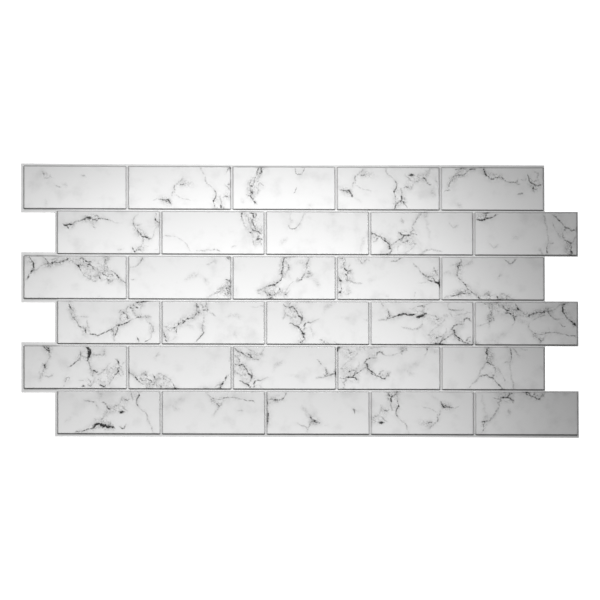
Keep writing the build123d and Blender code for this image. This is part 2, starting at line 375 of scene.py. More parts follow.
            (-71, 38, -69, 30), (-66, 24, -63, 20), (-61, 12, -60, 5), (-55, 0, -52, -6),
            (-50, -7, -45, -10, -42, -13), (-40, -18, -40, -22),
            (-30, -21, -24, -21, -20, -24, -15, -21, -8, -18, 0, -14, 8, -11), (6, -12, 9, -22),
            (17, -6, 15, -14, 11, -24), (10, -8, 14, -5, 18, -4), (31, 14, 34, 11), (20, 20, 23, 23),
            (20, 5, 21, 10), (22, 14, 27, 17),
        ],
        SOFT: [
            (50, 9, 58, 10, 66, 9, 75, 10), (-66, 22, -65, 12, -60, 6), (-50, 10, -36, 10),
            (-46, -22, -41, -22), (9, -22, 10, -33), (-63, 20, -60, 15, -60, 5, -55, 0),
            (66, 3, 72, -1, 77, -8, 77, -16, 75, -26, 70, -31), (28, 22, 34, 28, 40, 30),
            (-38, 4, -36, -8, -33, -18), (56, 24, 60, 30), (34, 1, 42, 6, 50, 9),
            (40, 26, 42, 20, 44, 18, 47, 12),
        ],
        HAZE: [
            (-68, 30, -62, 14, -56, 0), (-46, -14, -40, -18), (22, 18, 32, 10, 40, 20), (38, 28, 48, 26),
            (20, 0, 34, 2), (8, -10, 10, -24), (50, 32, 64, 34), (52, 12, 70, 8), (74, -4, 76, -20),
        ],
    },
    (3, 1): {
        BLACK: [(-29, 29, -27, 28)],
        DARK: [
            (-31, 38, -29, 33, -27, 28), (-14, 37, -8, 38, -2, 38), (-17, 22, -15, 22), (-10, 24, -10, 20),
            (-31, 17, -29, 14), (-37, 7, -35, 8), (-45, 7, -43, 7), (-54, 3, -51, 2, -54, -1),
            (-61, -1, -60, -5), (-65, -8, -70, -9), (-89, -12, -87, -18), (-86, -23, -84, -26),
            (-84, -31, -80, -34),
        ],
        MID: [
            (-30, 22, -31, 14, -34, 9), (-40, 7, -46, 7, -50, 4, -54, 1), (-54, 1, -60, -2, -65, -8),
            (-70, -9, -80, -8, -90, -7), (-12, 35, -13, 28), (-27, 20, -25, 15),
            (-64, -10, -65, -16, -64, -22), (-87, -18, -86, -23),
            (-19, -12, -17, -18, -21, -23, -26, -28, -30, -33), (82, 30, 88, 29),
        ],
        SOFT: [
            (-76, -32, -70, -29, -67, -27), (-28, 29, -30, 22), (-34, 9, -40, 7),
            (-16, 10, -18, 0, -20, -8, -19, -14), (-5, 17, 3, 13), (68, 28, 80, 28), (-14, 22, -10, 24),
            (-22, 34, -18, 28, -20, 22), (-60, 4, -66, -2, -72, -4),
        ],
        FAINT: [(22, 11, 30, 15, 42, 13, 48, 9), (38, -15, 42, -28), (-48, -5, -36, -8)],
        HAZE: [
            (-28, 32, -16, 26), (-28, 18, -12, 20), (-34, 10, -50, 6, -62, -4), (-68, -10, -84, -10),
            (-86, -20, -82, -32), (-18, 6, -20, -12),
        ],
    },
    (4, 0): {
        BLACK: [
            (-47, 38, -46, 31, -46, 27), (-54, 3, -53, 0), (20.5, 38, 21.5, 35, 23.5, 31),
            (26, 29.5, 26.5, 25, 24.5, 21), (24, 27, 25, 23, 24, 19), (22.5, 17, 21.5, 12.5),
            (23.5, 20, 21.5, 15),
        ],
        DARK: [
            (75, 7, 77, 4), (-56, 37, -51, 32, -46, 29), (-54, 38, -49, 34), (74, 12, 76, 8),
            (77, 1, 75, -3), (74, -2, 76, -7, 72, -12, 67, -14), (32, -6, 35, -7), (14, -33, 17, -33),
            (45, -32, 49, -34, 54, -33), (24, -32, 28, -33), (24, 33, 27, 29),
        ],
        MID: [
            (-52, 6, -55, -2), (-12, 1, -6, 4, 0, 9, 6, 14, 9, 19), (9, 28, 9, 20), (9, 20, 14, 19, 21, 17),
            (23, 12, 25, 4, 26, -2, 29, -6), (30, -15, 31, -10, 33, -6, 37, -9, 40, -8),
            (76, -8, 78, -13, 80, -17), (70, -14, 66, -20), (8, -23, 15, -24),
            (-18, -26, -16, -19, -12, -17, -9, -20), (24, -22, 27, -28), (62, 0, 66, -4),
        ],
        SOFT: [
            (-46, 25, -45, 18, -48, 12, -52, 6), (-53, 0, -57, -8, -61, -15, -63, -22), (79, 2, 76, -3),
            (-54, -15, -47, -17, -40, -14), (30, 22, 40, 22, 50, 23, 50, 31), (66, -20, 61, -26, 57, -32),
            (62, 8, 56, 2, 48, -6, 40, -14), (67, 2, 60, -4, 57, -14, 60, -22), (82, 5, 88, 10),
            (-44, 24, -44, 14), (-20, -36, -19, -30), (40, -22, 48, -28), (34, -20, 30, -30),
            (80, -4, 84, -14),
        ],
        HAZE: [
            (-54, 34, -44, 26), (-52, 4, -62, -18), (20, 30, 28, 20), (4, 14, 14, 20), (28, -4, 38, -12),
            (48, -4, 62, -16), (76, 6, 74, -12), (60, -26, 48, -30), (16, -30, 26, -30), (36, -28, 44, -20),
            (-16, -24, -10, -20), (40, 20, 52, 26),
        ],
    },
    (5, 2): {
        DARK: [
            (-88, 23, -80, 24), (-77, 23, -70, 22.5, -66, 23), (-88, 22, -88, 11), (-88, 0, -88, -12),
            (64, 2, 64, 5), (-13, -8, -11, -12), (-9, -14, -3, -17, 4, -17), (-10, -12, -5, -14),
        ],
        MID: [
            (-66, 23, -60, 26, -57, 32, -56, 38), (-88, -12, -88, -20), (-14, -5, -13, -9),
            (-11, -12, -4, -13, 1, -16), (-12, -10, -7, -12),
        ],
        SOFT: [
            (-36, -18, -24, -23, -18, -27, -20, -35), (-18, -27, -14, -17), (65, 6, 69, 4),
            (12, -22, 17, -22),
        ],
        BLOT: [(-9, -14, -4, -16)],
        FAINT: [(-28, 10, -21, 3, -16, -4)],
        HAZE: [(-86, 22, -64, 26), (-14, -8, -2, -16), (-88, 6, -89, -10)],
    },
}

# Where each tile is cut from the sheet: x and y of its middle, and whether it is the other way up
SHEET_CUTS = {
    (0, 1): (235.8, 160.1, False),
    (0, 3): (285.1, 142.5, False),
    (1, 3): (0, -38.7, True),
    (1, 4): (-112.6, -73.9, True),
    (2, 0): (174.2, 52.8, True),
    (2, 4): (123.2, 86.2, False),
    (3, 2): (-161.9, 0, False),
    (3, 3): (0, 0, False),
    (3, 4): (183, 7, False),
    (4, 1): (176, 70.4, False),
    (4, 2): (-132, 22.9, False),
    (4, 3): (95, -19.4, False),
    (4, 4): (-181.3, -68.6, False),
    (5, 0): (348.4, 167.2, True),
    (5, 1): (198.9, -35.2, False),
    (5, 3): (253.4, 149.6, True),
    (5, 4): (65.1, -63.4, False),
}
ALONE_SPACING = 400.0  # between the places of the tiles that are printed alone

# How a vein is drawn along its path. Lengths are in millimetres.
SEED = 7
VEIN_STEP = 1.3  # least length of a step along a vein, and half the greatest
VEIN_WANDER = 0.35  # how far the middle of a stretch strays from its path, in widths of the vein
WANDER_LENGTH = 6.0  # stretch that strays just so far, and a longer one strays further
WANDER_MOST = 1.5  # but no more than this many times as far
SWELL_AT_START = (0.8, 1.15)  # how dark and wide a vein starts, from least to most, for its kind
SWELL_STEP = 0.18  # how much that changes from one step to the next
SWELL_LIMITS = (0.65, 1.2)
END_TONE = 0.75  # the first and last steps are paler
BEADING = 0.4  # how much the darkness varies from step to step besides
DARKEST = 2.0  # limit of a step's darkness, well past the black of 1

# How the print is laid into the mesh, in millimetres
INK_ROWS = (0, 0.7, 1.6, 2.4)  # rows of vertices beside a vein, in half widths
CLEAR_OF_INK = 0.45  # closest that two vertices of the print may come
FACE_GRID = 6.5  # spacing of the vertices on a bare face
HAZE_REACH = 6.0  # how far the haze of a vein spreads
HAZE_FULL = 14.0  # length of black vein within that reach that makes the haze nearly full
VEIN_MARGIN = 5.0  # how far outside a tile a vein still marks it
PRINT_CHUNK = 500  # points whose print is worked out at a time, to spare memory
TINY = 1e-9  # keeps a length of 0 from being divided by

# How the film is meshed, in millimetres
POINTS_PER_MM = 2000  # points that round to the same place on this grid are one
FRONT_STEPS = (20, 8, 4)  # along a tile's long side, along its short side and round its corner
BACK_STEPS = (2, 1, 3)
FRONT_ROUNDING = 4  # steps in the round at a wall's foot, and in the one at its top
BACK_ROUNDING = 3
INSIDE, INSIDE_WITH_HOLES = 1, 4  # what the triangulation is asked to fill
TOUCH = 1e-4  # how near each other it joins points
TRIM_SLOPE = 0.45  # width of the rim that the knife pressed down
TRIM_LAND = 0.1  # what it left upright


def course_left(course):
    """X of the left foot of a course. Every other course is shifted to the right."""
    return -PANEL_LENGTH / 2 + LIP_LEFT + (STAGGER if course % 2 else 0)


def course_middle(course):
    """Y of the middle of a course. Course 0 is the top one."""
    return PANEL_HEIGHT / 2 - LIP_TOP - FOOT_HEIGHT / 2 - course * PITCH_Y


def tiles():
    """Every tile as (course, column) with the x and y of its middle."""
    return {
        (course, column): (course_left(course) + FOOT_LENGTH / 2 + column * PITCH_X, course_middle(course))
        for course in range(COURSES)
        for column in range(TILES_PER_COURSE)
    }


def course_spans():
    """Left, right, lower and upper limit of the film under each course, its lips included."""
    spans = []
    for course in range(COURSES):
        left = course_left(course) - LIP_LEFT
        right = course_left(course) + COURSE_LENGTH + LIP_RIGHT
        lip = LIP_RIGHT if course % 2 else LIP_NOTCH
        above = LIP_TOP if course == 0 else lip
        below = LIP_BOTTOM if course == COURSES - 1 else lip
        middle = course_middle(course)
        spans.append((left, right, middle - FOOT_HEIGHT / 2 - below, middle + FOOT_HEIGHT / 2 + above))
    return spans


def meeting_heights(spans, end):
    """Heights between which each course shows at one end of the panel, from the bottom up."""
    heights = [spans[0][2]]
    for lower, upper in zip(spans[:-1], spans[1:]):
        # The one that reaches further keeps its lip
        heights.append(upper[2] if abs(upper[end]) > abs(lower[end]) else lower[3])
    return heights + [spans[-1][3]]


def panel_outline():
    """Corners of the trimmed film, anticlockwise from the lower right."""
    spans = course_spans()[::-1]
    ends = []
    for end in (0, 1):
        heights = meeting_heights(spans, end)
        pairs = zip(heights[:-1], heights[1:])
        ends.append([(span[end], y) for span, pair in zip(spans, pairs) for y in pair])
    left_end, right_end = ends
    return right_end + left_end[::-1]


def wall_profile(foot_reach, foot_height, foot_radius, edge_radius, steps):
    """Section of a tile's wall from the joint up to its face, as (reach, height, tilt of normal).

    Reach is measured outward from the straight-sided core of the tile.
    """
    turn = math.tan(WALL_TILT / 2)
    foot = (foot_reach + foot_radius * turn, foot_height + foot_radius)
    edge = (foot_reach - WALL_RUN - edge_radius * turn, foot_height + RELIEF - edge_radius)
    tilts = [WALL_TILT * k / steps for k in range(steps + 1)]
    rising = [(foot[0] - foot_radius * math.sin(a), foot[1] - foot_radius * math.cos(a), a) for a in tilts]
    turning = [(edge[0] + edge_radius * math.sin(a), edge[1] + edge_radius * math.cos(a), a) for a in tilts]
    return rising + turning[::-1]


FRONT_PROFILE = wall_profile(FOOT_CORNER, FILM, FOOT_RADIUS, FACE_EDGE_RADIUS, FRONT_ROUNDING)
BACK_PROFILE = wall_profile(
    FOOT_CORNER - BACK_INSET, 0, FOOT_RADIUS + FILM, FACE_EDGE_RADIUS - FILM, BACK_ROUNDING
)


def rim_points(long_steps, short_steps, corner_steps):
    """Points round a tile's core, anticlockwise, and the direction outward at each."""
    half = np.array([FOOT_LENGTH / 2 - FOOT_CORNER, FOOT_HEIGHT / 2 - FOOT_CORNER])
    corners = [half * sign for sign in ((-1, -1), (1, -1), (1, 1), (-1, 1))]
    cores, angles = [], []
    for side in range(4):
        start, end = corners[side], corners[(side + 1) % 4]
        outward = math.pi / 2 * (side - 1)
        steps = short_steps if side % 2 else long_steps
        for k in range(steps + 1):
            cores.append(start + (end - start) * k / steps)
            angles.append(outward)
        for k in range(1, corner_steps):
            cores.append(end)
            angles.append(outward + math.pi / 2 * k / corner_steps)
    outwards = np.column_stack([np.cos(angles), np.sin(angles)])
    return np.array(cores), outwards


# What each point of the film carries for its material
MARKS = (
    "ink",  # printed vein
    "haze",  # blur round the veins
    "wall",  # how much it is wall
    "outer",  # how much it is a wall without a neighbour
    "shade",  # how much the joint beside it lies in shade
    "height",  # on its tile, from -1 at the bottom to 1 at the top
)
NO_MARKS = (0,) * len(MARKS)
PRINTED, JOINT, BACK, EDGE = range(4)  # the looks of the film's faces


class FilmMesh:
    """Points, normals and faces of the film, in millimetres. Points that meet are one point."""

    def __init__(self):
        self.points, self.normals, self.prints, self.marks = [], [], [], []
        self.faces, self.looks = [], []
        self.found = {}

    def point(self, place, normal, printed=(0, 0), marks=NO_MARKS):
        """Index of the point at this place, which is added if it is new."""
        key = tuple(round(c * POINTS_PER_MM) for c in place)
        if key not in self.found:
            self.found[key] = len(self.points)
            self.points.append(tuple(place))
            self.normals.append(tuple(normal))
            self.prints.append((printed[0], printed[1], 0))
            self.marks.append(marks)
        return self.found[key]

    def face(self, corners, look):
        """Adds a face with its corners in anticlockwise order, seen from outside."""
        if len(set(corners)) == len(corners):
            self.faces.append(tuple(corners))
            self.looks.append(look)

    def strip(self, outer, inner, look):
        """Quads between two closed rings of points."""
        count = len(outer)
        for k in range(count):
            after = (k + 1) % count
            self.face((outer[k], outer[after], inner[after], inner[k]), look)


def refined(path, wander, rng):
    """The vein's path in short steps, straying a little from side to side."""
    nodes = np.array(path, dtype=float).reshape(-1, 2)
    while True:
        lengths = np.linalg.norm(np.diff(nodes, axis=0), axis=1)
        if lengths.max() < 2 * VEIN_STEP:
            return nodes
        finer = [nodes[0]]
        for start, end, length in zip(nodes[:-1], nodes[1:], lengths):
            if length >= 2 * VEIN_STEP:
                along = (end - start) / length
                stray = rng.uniform(-wander, wander) * min(length / WANDER_LENGTH, WANDER_MOST)
                finer.append((start + end) / 2 + stray * np.array([-along[1], along[0]]))
            finer.append(end)
        nodes = np.array(finer)


def vein_segments(veins, rng):
    """All veins as rows of x, y, x, y, darkness, half width, haze: one row a short segment."""
    rows = []
    for (darkness, half_width, haze), paths in veins.items():
        for path in paths:
            nodes = refined(path, VEIN_WANDER * half_width * 2, rng)
            swell = rng.uniform(*SWELL_AT_START)
            for k, (start, end) in enumerate(zip(nodes[:-1], nodes[1:])):
                swell += rng.uniform(-SWELL_STEP, SWELL_STEP)
                swell = min(max(swell, SWELL_LIMITS[0]), SWELL_LIMITS[1])
                at_end = END_TONE if k in (0, len(nodes) - 2) else 1.0
                bead = rng.uniform(1 - BEADING, 1 + BEADING)
                dark = min(darkness * swell * at_end * bead, DARKEST)
                rows.append((*start, *end, dark, half_width * swell, haze))
    return np.array(rows)


def print_at(points, segments):
    """Ink and haze at each point: the darkest that any vein lays there, and all of them blurred."""
    start, end = segments[:, 0:2], segments[:, 2:4]
    along = end - start
    square = np.maximum((along**2).sum(axis=1), TINY)
    weight = segments[:, 6] * np.sqrt(square) / HAZE_FULL
    ink, haze = np.zeros(len(points)), np.zeros(len(points))
    for begin in range(0, len(points), PRINT_CHUNK):
        chunk = slice(begin, begin + PRINT_CHUNK)
        offset = points[chunk, None, :] - start[None]
        share = np.clip((offset * along).sum(axis=2) / square, 0, 1)
        distance = np.linalg.norm(offset - share[..., None] * along, axis=2)
        ink[chunk] = (segments[:, 4] * np.exp(-((distance / segments[:, 5]) ** 2))).max(axis=1)
        haze[chunk] = 1 - np.exp(-(weight * np.exp(-((distance / HAZE_REACH) ** 2))).sum(axis=1))
    return ink, haze


def face_points(segments, half_length, half_height):
    """Where a tile's face gets vertices: in rows beside its veins, and on a coarse grid."""
    start, end = segments[:, 0:2], segments[:, 2:4]
    along = end - start
    along /= np.maximum(np.linalg.norm(along, axis=1), TINY)[:, None]
    aside = np.column_stack([-along[:, 1], along[:, 0]])
    wanted = []
    for row in INK_ROWS:
        for side in (1, -1) if row else (1,):
            wanted.append(start + aside * (side * row * segments[:, 5])[:, None])
    columns, lines = round(2 * half_length / FACE_GRID), round(2 * half_height / FACE_GRID)
    # Every other line of the grid is set off by half a step
    grid = [
        ((column + (line % 2) / 2) * FACE_GRID - half_length, line * FACE_GRID - half_height)
        for line in range(1, lines)
        for column in range(1, columns)
    ]
    wanted.append(np.array(grid))
    kept, taken = [], set()
    for x, y in np.concatenate(wanted):
        if abs(x) > half_length - CLEAR_OF_INK or abs(y) > half_height - CLEAR_OF_INK:
            continue
        cell = (round(x / CLEAR_OF_INK), round(y / CLEAR_OF_INK))
        if cell not in taken:
            taken.add(cell)
            kept.append((x, y))
    return kept


def without_neighbour(centre, cores, outwards):
    """1 for each point of a tile's rim that has no other tile across a joint, else 0."""
    # Half a joint's width past the joint
    beyond = np.array(centre) + cores + outwards * (FOOT_CORNER + 1.5 * JOINT_FLOOR)
    covered = [
        (np.abs(beyond[:, 0] - x) < PITCH_X / 2) & (np.abs(beyond[:, 1] - y) < PITCH_Y / 2)
        for x, y in tiles().values()
    ]
    return 1.0 - np.any(covered, axis=0)


def tile_rings(film, centre, profile, rim, up, printed, segments, look):
    """Lays the rings of one side of a tile's wall and returns the outermost and the innermost."""
    cores, outwards = rim
    outer_wall = without_neighbour(centre, cores, outwards)
    rings = []
    for reach, height, tilt in profile:
        ring = []
        places = cores + outwards * reach
        inks, hazes = print_at(places, segments)
        wall = math.sin(tilt) / math.sin(WALL_TILT) if height > FILM + RELIEF / 2 else 1.0
        lean = math.sin(tilt) * up
        for place, outward, ink, haze, outer in zip(places, outwards, inks, hazes, outer_wall):
            normal = (outward[0] * lean, outward[1] * lean, math.cos(tilt) * up)
            spot = (centre[0] + place[0], centre[1] + place[1], height)
            shade = max(outward[0] ** 2, outer)
            marks = (ink, haze, wall, wall * outer, shade, 2 * place[1] / FOOT_HEIGHT)
            ring.append(film.point(spot, normal, printed(place), marks))
        rings.append(ring)
    for outer, inner in zip(rings[:-1], rings[1:]):
        first, second = (outer, inner) if up > 0 else (inner, outer)
        film.strip(first, second, look)
    return rings[0], rings[-1]


def fill_face(film, centre, ring, level, printed, segments):
    """The face of a tile inside its ring, with vertices along its veins."""
    inner_reach = FRONT_PROFILE[-1][0]
    half_length = FOOT_LENGTH / 2 - FOOT_CORNER + inner_reach
    half_height = FOOT_HEIGHT / 2 - FOOT_CORNER + inner_reach
    border = [(film.points[k][0] - centre[0], film.points[k][1] - centre[1]) for k in ring]
    inside = face_points(segments, half_length, half_height)
    flat = [Vector(p) for p in border + inside]
    order = list(range(len(border)))
    edges = [(k, (k + 1) % len(border)) for k in order]
    spots, _, triangles, _, _, _ = delaunay_2d_cdt(flat, edges, [order], INSIDE, TOUCH)
    places = np.array([tuple(p) for p in spots])
    indices = []
    for (x, y), ink, haze in zip(places, *print_at(places, segments)):
        place = (centre[0] + x, centre[1] + y, level)
        marks = (ink, haze, 0, 0, 0, 2 * y / FOOT_HEIGHT)
        indices.append(film.point(place, (0, 0, 1), printed((x, y)), marks))
    for triangle in triangles:
        film.face([indices[k] for k in triangle], PRINTED)


def fill_joint(film, outline, rings, level, up, look):
    """The flat film between and round the tiles, with a hole for each tile."""
    flat, loops = [], []
    for loop in [outline] + [[film.points[k][:2] for k in ring] for ring in rings]:
        loops.append(list(range(len(flat), len(flat) + len(loop))))
        flat += [Vector(p) for p in loop]
    edges = [(loop[k], loop[(k + 1) % len(loop)]) for loop in loops for k in range(len(loop))]
    spots, _, triangles, _, _, _ = delaunay_2d_cdt(flat, edges, [], INSIDE_WITH_HOLES, TOUCH)
    indices = [film.point((p[0], p[1], level), (0, 0, up)) for p in spots]
    for triangle in triangles:
        corners = [indices[k] for k in triangle]
        film.face(corners if up > 0 else corners[::-1], look)


def moved_in(outline, distance):
    """A square-cornered outline, moved inward all round. It runs anticlockwise."""
    moved = []
    for k, (x, y) in enumerate(outline):
        before, after = outline[k - 1], outline[(k + 1) % len(outline)]
        for start, end in ((before, outline[k]), (outline[k], after)):
            run = math.dist(start, end)
            x -= distance * (end[1] - start[1]) / run
            y += distance * (end[0] - start[0]) / run
        moved.append((x, y))
    return moved


def cut_edge(film, outline, inner):
    """The cut edge of the film, all round, pressed down a little by the knife."""
    low = [film.point((x, y, 0), (0, 0, -1)) for x, y in outline]
    middle = [film.point((x, y, TRIM_LAND), (0, 0, 1)) for x, y in outline]
    high = [film.point((x, y, FILM), (0, 0, 1)) for x, y in inner]
    film.strip(low, middle, EDGE)
    film.strip(middle, high, EDGE)


def tile_print(tile, sheet, alone):
    """The veins of one tile in its own coordinates, and the print's place at any point of it."""
    if tile in SHEET_CUTS:
        x, y, turned = SHEET_CUTS[tile]
        sign = -1 if turned else 1
        segments = sheet.copy()
        segments[:, 0:4] = (segments[:, 0:4] - (x, y, x, y)) * sign
        shift = (x, y)
    else:
        segments, sign = alone[tile], 1
        shift = (0, ALONE_SPACING * (1 + tile[0] + COURSES * tile[1]))
    reach_x, reach_y = FOOT_LENGTH / 2 + VEIN_MARGIN, FOOT_HEIGHT / 2 + VEIN_MARGIN
    near = (np.abs(segments[:, 0]) < reach_x) & (np.abs(segments[:, 1]) < reach_y)

    def printed(place):
        return (shift[0] + sign * place[0], shift[1] + sign * place[1])

    return segments[near], printed


def film_mesh():
    """The whole film: printed front, plain back and cut edge."""
    rng = random.Random(SEED)
    sheet = vein_segments(SHEET_VEINS, rng)
    alone = {tile: vein_segments(veins, rng) for tile, veins in ALONE_VEINS.items()}
    film = FilmMesh()
    front_rim, back_rim = rim_points(*FRONT_STEPS), rim_points(*BACK_STEPS)
    feet, back_feet = [], []
    for tile, centre in tiles().items():
        segments, printed = tile_print(tile, sheet, alone)
        foot, edge = tile_rings(film, centre, FRONT_PROFILE, front_rim, 1, printed, segments, PRINTED)
        feet.append(foot)
        fill_face(film, centre, edge, FILM + RELIEF, printed, segments)
        foot, edge = tile_rings(film, centre, BACK_PROFILE, back_rim, -1, printed, segments, BACK)
        back_feet.append(foot)
        film.face(edge[::-1], BACK)  # the flat ceiling of the hollow
    outline = panel_outline()
    inner = moved_in(outline, TRIM_SLOPE)
    fill_joint(film, inner, feet, FILM, 1, JOINT)
    fill_joint(film, outline, back_feet, 0, -1, BACK)
    cut_edge(film, outline, inner)
    return film


def add_object(name, data):
    """A new object of the scene that holds a mesh, a camera or a light."""
    made = bpy.data.objects.new(name, data)
    bpy.context.scene.collection.objects.link(made)
    return made


def film_object(film, materials):
    """The film as an object of the scene, with its normals, marks and materials."""
    mesh = bpy.data.meshes.new("panel_film")
    points = np.array(film.points) * MM
    mesh.from_pydata(points.tolist(), [], film.faces)
    for material in materials:
        mesh.materials.append(material)
    mesh.polygons.foreach_set("material_index", film.looks)
    mesh.polygons.foreach_set("use_smooth", [True] * len(film.faces))
    for mark, values in zip(MARKS, zip(*film.marks)):
        mesh.attributes.new(mark, "FLOAT", "POINT").data.foreach_set("value", values)
    places = (np.array(film.prints) * MM).ravel()
    mesh.attributes.new("print_place", "FLOAT_VECTOR", "POINT").data.foreach_set("vector", places)
    normals = []
    for polygon in mesh.polygons:
        is_flat = polygon.material_index == EDGE
        for k in polygon.vertices:
            normals.append(tuple(polygon.normal) if is_flat else film.normals[k])
    mesh.normals_split_custom_set(normals)
    mesh.update()
    return add_object("panel_film", mesh)


class Nodes:
    """Short calls for building one material's node tree."""

    def __init__(self, name):
        self.material = bpy.data.materials.new(name)
        self.material.use_nodes = True
        self.tree = self.material.node_tree
        self.shader = self.tree.nodes["Principled BSDF"]

    def node(self, kind, inputs=None, **settings):
        """A new node. Its inputs go by name or number, and are sockets or constants."""
        made = self.tree.nodes.new(kind)
        for name, value in settings.items():
            setattr(made, name, value)
        for socket, value in (inputs or {}).items():
            self.put(made.inputs[socket], value)
        return made

    def put(self, socket, value):
        """Links another node's output to the socket, or sets its constant."""
        if isinstance(value, bpy.types.NodeSocket):
            self.tree.links.new(value, socket)
        else:
            socket.default_value = value

    def surface(self, inputs):
        """Sets what the shader shows."""
        for name, value in inputs.items():
            self.put(self.shader.inputs[name], value)

    def math(self, operation, *values, clamp=False):
        """The result of a sum on numbers or sockets."""
        inputs = dict(enumerate(values))
        return self.node("ShaderNodeMath", inputs, operation=operation, use_clamp=clamp).outputs[0]

    def mix(self, share, first, second):
        """A colour between two colours."""
        made = self.node("ShaderNodeMix", data_type="RGBA")
        for socket, value in ((made.inputs[0], share), (made.inputs[6], first), (made.inputs[7], second)):
            self.put(socket, value)
        return made.outputs[2]

    def mark(self, name, output):
        """What the mesh carries under this name."""
        return self.node("ShaderNodeAttribute", attribute_name=name).outputs[output]

    def shade(self, colour, factor):
        """A colour made darker by a factor."""
        made = self.node("ShaderNodeVectorMath", {0: colour}, operation="SCALE")
        self.put(made.inputs["Scale"], factor)
        return made.outputs[0]

    def ramp(self, value, low, high):
        """Rises smoothly from 0 to 1 as the value goes from low to high."""
        inputs = {"Value": value, "From Min": low, "From Max": high}
        return self.node("ShaderNodeMapRange", inputs, interpolation_type="SMOOTHSTEP").outputs[0]

    def noise(self, place, scale, detail, roughness):
        inputs = {"Vector": place, "Scale": scale, "Detail": detail, "Roughness": roughness}
        return self.node("ShaderNodeTexNoise", inputs).outputs["Fac"]

    def patches(self, place, pattern):
        """Noise that fades in between two of its levels."""
        scale, detail, roughness, low, high = pattern
        return self.ramp(self.noise(place, scale, detail, roughness), low, high)

    def cracks(self, place):
        """A web of fine lines, bent by noise."""
        noise = self.node("ShaderNodeTexNoise", {"Vector": place, "Scale": CRACKS * CRACK_BENDS})
        inputs = {0: noise.outputs["Color"], "Scale": CRACK_BEND / CRACKS}
        bend = self.node("ShaderNodeVectorMath", inputs, operation="SCALE").outputs[0]
        bent = self.node("ShaderNodeVectorMath", {0: place, 1: bend}, operation="ADD").outputs[0]
        inputs = {"Vector": bent, "Scale": CRACKS}
        cells = self.node("ShaderNodeTexVoronoi", inputs, feature="DISTANCE_TO_EDGE")
        return self.math("SUBTRACT", 1.0, self.ramp(cells.outputs["Distance"], *CRACK_EDGES))

    def ripple(self, place, pattern):
        """A faint unevenness of the surface."""
        height = self.noise(place, *pattern)
        inputs = {"Strength": RIPPLE_STRENGTH, "Distance": RIPPLE_DEPTH, "Height": height}
        self.put(self.shader.inputs["Normal"], self.node("ShaderNodeBump", inputs).outputs["Normal"])


def grey(level):
    return (level, level, level, 1)


# Patterns of the film: how many there are to the metre, how fine and how rough their noise is,
# and the two of its levels between which they fade in
CLOUDS = (24.0, 5.0, 0.55, 0.48, 0.78)
VEIN_CLOUDS = (85.0, 4.0, 0.55, 0.38, 0.62)
CRACKED_PATCHES = (120.0, 2.0, 0.55, 0.38, 0.56)
BEADS = (300.0, 3.0, 0.7, 0.42, 0.6)
MOTTLE = (60.0, 4.0, 0.55, 0.3, 0.7)
PRINT_RIPPLE = (160.0, 2.0, 0.55)
BARE_RIPPLE = (120.0, 2.0, 0.55)
RIPPLE_STRENGTH = 0.05
RIPPLE_DEPTH = 0.0004  # metres
CRACKS = 210.0  # cells between the cracks, to the metre
CRACK_BENDS = 0.7  # bends of a crack to each cell
CRACK_BEND = 0.6  # how far they reach, in cells
CRACK_EDGES = (0.02, 0.14)  # a crack fades out between these distances from its middle

# The print
PAPER = 0.80  # the bare print
PAPER_CLOUD = 0.56  # its greyest clouds
CLOUD_SHARE = 0.5  # how much of that the clouds reach
VEIN_CLOUD_SHARE = 0.9  # and those near the veins
VEIN_BLACK = 0.012
BEAD_BASE = 0.62  # ink between the beads, against what the mesh carries
BEAD_GAIN = 1.5  # what the beads add
CRACK_INK = 0.28
CRACK_HAZE = (0.15, 0.85)  # the cracks fade in with this much haze
WALL_PAINTED_SHADE = 0.74  # painted shade on the walls: their colour is made darker by this
TOP_PAINTED_SHADE = 0.64  # painted shade along a tile's top
BOTTOM_PAINTED_SHADOW = 0.37  # and along its bottom, painted darker as a shadow
WALL_HEIGHTS = (0.93, 0.96)  # where the painted shade along the top and the bottom fades in on a tile
OUTER_PAINTED_SHADE = 0.7  # painted shade: the walls along the panel's edge are darker by this
TILE_PAINTED_SHADE = 0.1  # painted shade: a tile's colour is a little darker at its top than at its bottom

# The bare film
JOINT_LEVEL = 0.86
JOINT_SHADE = 0.74  # a joint's tone where it lies in shade
BACK_LEVEL = 0.72
# the cut edge's darker grey is painted shade, where the film meets the floor
EDGE_LEVEL = 0.5
MOTTLE_TONE = 0.94  # the lighter spots of the mottle against the darker ones
FRONT_ROUGHNESS = 0.42
FRONT_SPECULAR = 0.4
BACK_ROUGHNESS = 0.55
EDGE_ROUGHNESS = 0.5


